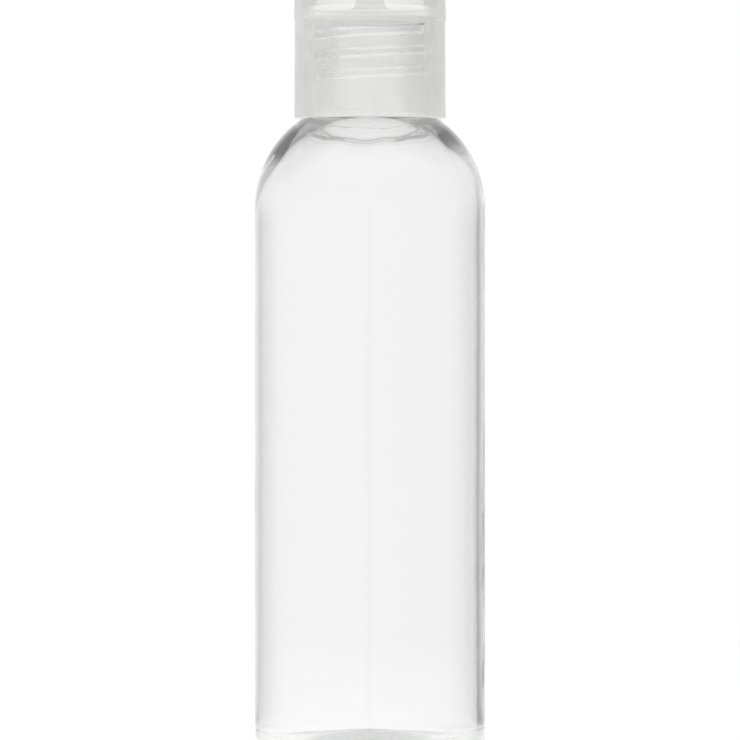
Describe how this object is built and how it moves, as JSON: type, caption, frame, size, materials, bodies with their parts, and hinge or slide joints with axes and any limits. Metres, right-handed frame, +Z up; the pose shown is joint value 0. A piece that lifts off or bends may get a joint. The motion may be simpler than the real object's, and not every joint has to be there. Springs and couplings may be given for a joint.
{
  "type": "travel bottle",
  "caption": "Clear round bottle with a screwed press-top cap: the cap unscrews from a threaded neck, and the disc in its top tips to lift a spout.",
  "frame": {"origin": "centre of the foot of the bottle, on the surface that it stands on", "axes": "+Z up along the bottle's axis, -Y towards the side that the spout opens to"},
  "size_m": [0.0354, 0.0354, 0.1216],
  "materials": {
    "bottle": "clear, gloss",
    "washer": "foamed, matte",
    "cap": "natural, translucent, satin"
  },
  "bodies": {
    "bottle": {"bottle": "bottle"},
    "washer": {"sealing_washer": "washer"},
    "cap": {"cap_shell": "cap"},
    "disc": {"press_disc": "cap"}
  },
  "joints": [
    {"name": "cap_lift", "type": "slide", "parent": "bottle", "child": "washer", "axis": [0, 0, 1], "range_m": [0, 0.01906]},
    {"name": "cap_turn", "type": "hinge", "parent": "washer", "child": "cap", "pos_m": [0, 0, 0.1144], "axis": [0, 0, 1], "range_deg": [0, 2160]},
    {"name": "disc_tilt", "type": "hinge", "parent": "cap", "child": "disc", "pos_m": [0, 0, 0.11841], "axis": [-1, 0, 0], "range_deg": [0, 20]}
  ],
  "couplings": [
    {"joint": "cap_lift", "follows": "cap_turn", "m_per_rad": 0.00050532}
  ]
}
